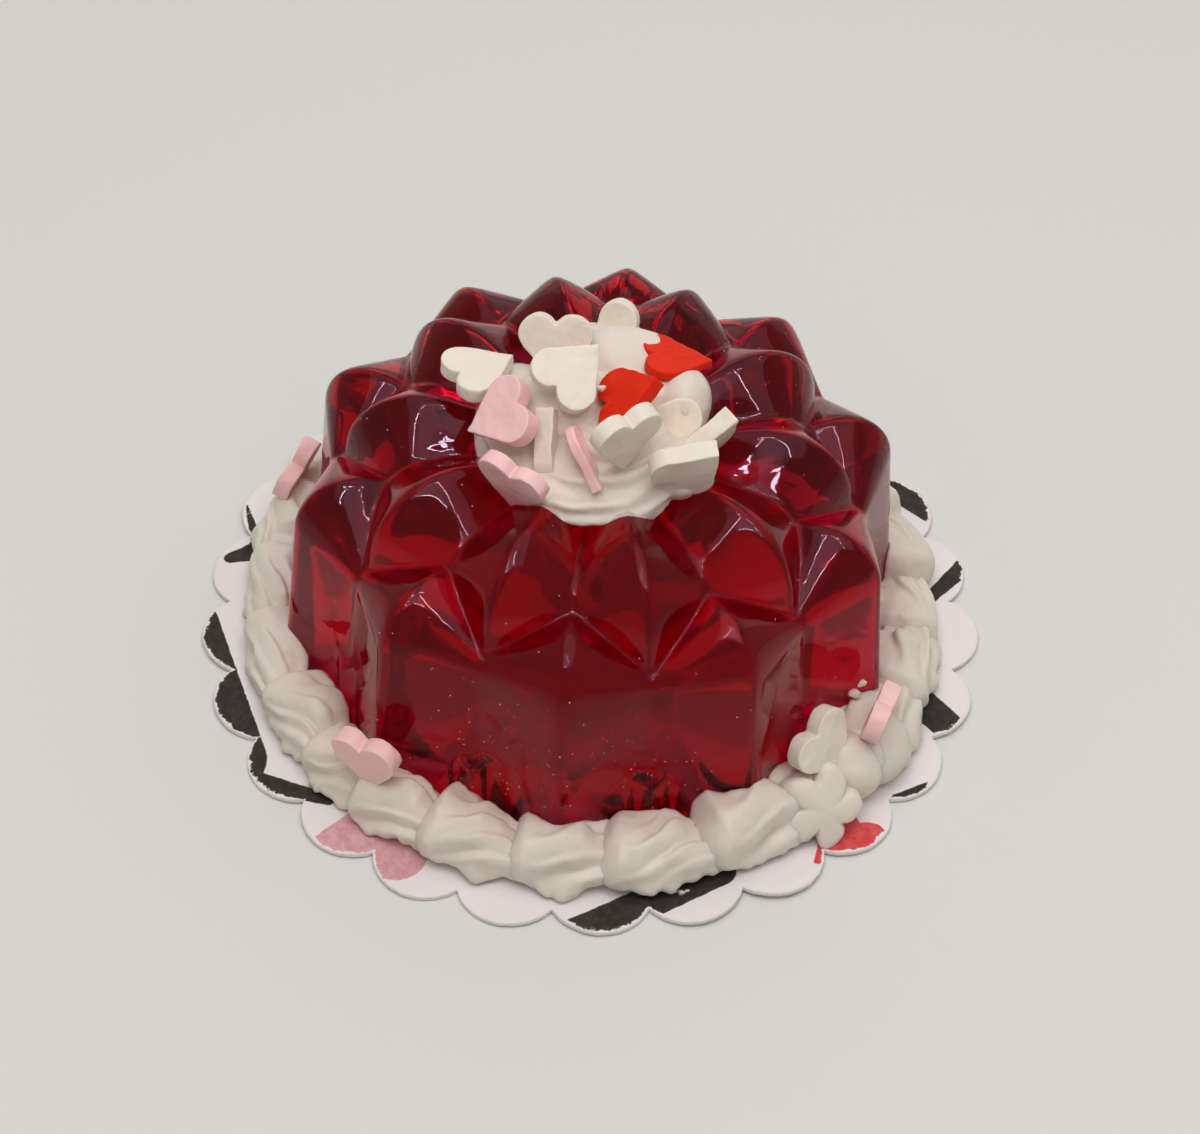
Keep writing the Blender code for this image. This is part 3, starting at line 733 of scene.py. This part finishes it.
CLAYS = {
    "white": clay("white clay", (0.86, 0.795, 0.70, 1), (0.82, 0.75, 0.66, 1), (0.55, 0.42, 0.33, 1), 0.4),
    "pink": clay("pink clay", (0.95, 0.66, 0.65, 1), (0.92, 0.59, 0.59, 1), (0.95, 0.80, 0.78, 1), 0.4),
    "red": clay("red clay", (0.80, 0.045, 0.012, 1), (0.72, 0.03, 0.008, 1), (0.90, 0.60, 0.50, 1), 0.2),
}
slot_of = {part["node"]: part["material_slot"] for part in frame["record"]["subparts"]}
slice_names = sorted(name for name in frame["nodes"] if slot_of[name] in CLAYS)
for seed, name in enumerate(slice_names):
    heart = clay_slice(name, 20 + seed)
    heart.data.materials.append(CLAYS[slot_of[name]])


# --- Dust, bubbles and crumbs ----------------------------------------------------------
# Fine dust and short fibres cling to the glossy resin and tiny bubbles sit just inside it,
# most of them low at the front. A few crumbs of cream have dropped on the card and slices.

SPECKS = 340
CLUSTER_AZIMUTHS = (-116, -112, -75, -95)      # degrees
LOWEST_LIFT = -18.0                            # degrees, just above the jelly's foot
CORNERS = np.array([(1, 0, 0), (0, 1, 0), (-1, 0, 0), (0, -1, 0), (0, 0, 1), (0, 0, -1)], dtype=float)
CORNER_FACES = [(0, 1, 4), (1, 2, 4), (2, 3, 4), (3, 0, 4), (1, 0, 5), (2, 1, 5), (3, 2, 5), (0, 3, 5)]
dust_random = np.random.default_rng(23)
clustered = dust_random.random(SPECKS) < 0.5
near_creases = dust_random.choice(CLUSTER_AZIMUTHS, SPECKS) + dust_random.normal(0, 7, SPECKS)
speck_azimuth = np.radians(np.where(clustered, near_creases, dust_random.uniform(-180, 180, SPECKS)))
speck_lift = np.where(clustered, dust_random.normal(-4, 9, SPECKS), dust_random.uniform(-12, 58, SPECKS))
speck_lift = np.radians(LOWEST_LIFT + np.abs(speck_lift - LOWEST_LIFT))
speck_length = length_to_surface(depth_in_jelly, speck_azimuth, speck_lift)
sunk = np.where(dust_random.random(SPECKS) < 0.4, dust_random.uniform(0.2, 0.9, SPECKS), 0.0)
speck_length = speck_length - sunk
speck_places = np.stack([speck_length * np.cos(speck_lift) * np.cos(speck_azimuth),
                         speck_length * np.cos(speck_lift) * np.sin(speck_azimuth),
                         CORE_HEIGHT + speck_length * np.sin(speck_lift)], axis=-1)
specks = []
for place, depth in zip(speck_places, sunk):
    size = dust_random.uniform(0.025, 0.085)
    stretch = 1.0
    if depth == 0.0 and dust_random.random() < 0.12:
        stretch = dust_random.uniform(3, 8)
        size = 0.03
    turn = Matrix.Rotation(dust_random.uniform(0, 3.1), 3, "Z") @ Matrix.Rotation(dust_random.uniform(0, 3.1), 3, "X")
    corners = (CORNERS * (size * stretch, size, size)) @ np.array(turn).T
    specks.append((corners + place, CORNER_FACES))
dust_points, dust_faces = joined(specks)
dust = mesh_piece("dust_and_bubbles", dust_points, dust_faces)
pale_dust, tree, shader = new_material("pale dust")
shader.inputs["Roughness"].default_value = 0.8
tree.links.new(blend(tree, grain(tree, 1.0), (0.62, 0.40, 0.40, 1), (0.80, 0.70, 0.68, 1)), shader.inputs["Base Color"])
dust.data.materials.append(pale_dust)
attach(dust, "root")

CRUMBS = (                   # place in millimetres and size across
    ((6.4, -24.9, 0.55), 0.42), ((7.1, -25.1, 0.5), 0.34), ((6.8, -24.3, 0.45), 0.22), ((7.5, -24.8, 0.4), 0.18),
    ((-0.1, -1.5, 25.9), 0.38), ((19.0, -10.5, 5.4), 0.5), ((19.5, -9.9, 5.9), 0.36), ((-19.6, -17.0, 0.4), 0.2))
crumb_points, crumb_faces = joined([lump(place, (size, size * 0.7, size * 0.6)) for place, size in CRUMBS])
crumb_points = kneaded(crumb_points, 0.16, 0.45, 41)
crumbs = mesh_piece("cream_crumbs", crumb_points, crumb_faces)
crumbs.data.materials.append(cream)
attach(crumbs, "root")


# --- Studio --------------------------------------------------------------------------
# The toy stands on a plain pale table top, under a wide soft light and a thin frame of
# light strips, and is seen from the front and above.

table = mesh_piece("table_top", [(-3000, -3000, -0.02), (3000, -3000, -0.02), (3000, 3000, -0.02), (-3000, 3000, -0.02)],
                   [(0, 1, 2, 3)])
pale_paint, tree, shader = new_material("pale table")
shader.inputs["Base Color"].default_value = (0.745, 0.745, 0.705, 1)
shader.inputs["Roughness"].default_value = 0.7
table.data.materials.append(pale_paint)

world = bpy.data.worlds.new("studio")
world.use_nodes = True
world.node_tree.nodes["Background"].inputs["Color"].default_value = (1.0, 0.99, 0.96, 1)
world.node_tree.nodes["Background"].inputs["Strength"].default_value = 0.395
bpy.context.scene.world = world


def soft_light(name, place, target, width, height, power):
    lamp = bpy.data.lights.new(name, "AREA")
    lamp.shape = "RECTANGLE"
    lamp.size = width * MM
    lamp.size_y = height * MM
    lamp.energy = power
    holder = bpy.data.objects.new(name, lamp)
    holder.location = Vector(place) * MM
    holder.rotation_euler = (Vector(target) * MM - holder.location).to_track_quat("-Z", "Y").to_euler()
    bpy.context.scene.collection.objects.link(holder)
    return holder


soft_light("tent_roof", (60, 60, 420), (60, 60, 0), 600, 520, 0.81)
soft_light("tent_back", (60, 480, 160), (0, 0, 0), 900, 300, 0.28)
soft_light("panel", (0, -95, 331), (0, 0, 0), 190, 140, 0.061)
for side in (-1, 1):
    soft_light("strip_side", (side * 96, -95, 330), (0, 0, 0), 5, 142, 0.066)
for end in (-1, 1):
    soft_light("strip_end", (0, -95 + end * 71, 330), (0, 0, 0), 192, 5, 0.082)

camera_data = bpy.data.cameras.new("camera")
camera_data.sensor_width = 36.0
camera_data.lens = 97.5
camera_data.clip_start = 0.005
camera = bpy.data.objects.new("camera", camera_data)
aim = Vector((0.47, 5.60, 0.0)) * MM
elevation = math.radians(47.58)
camera.location = aim + 246.3 * MM * Vector((0, -math.cos(elevation), math.sin(elevation)))
view = (aim - camera.location).to_track_quat("-Z", "Y")
camera.rotation_euler = (view.to_matrix() @ Matrix.Rotation(math.radians(2.49), 3, "Z")).to_euler()
bpy.context.scene.collection.objects.link(camera)
bpy.context.scene.camera = camera

scene = bpy.context.scene
scene.view_settings.view_transform = "Standard"
scene.view_settings.gamma = 0.85
scene.cycles.use_denoising = True
scene.cycles.max_bounces = 14
scene.cycles.transmission_bounces = 12
scene.cycles.sample_clamp_indirect = 3
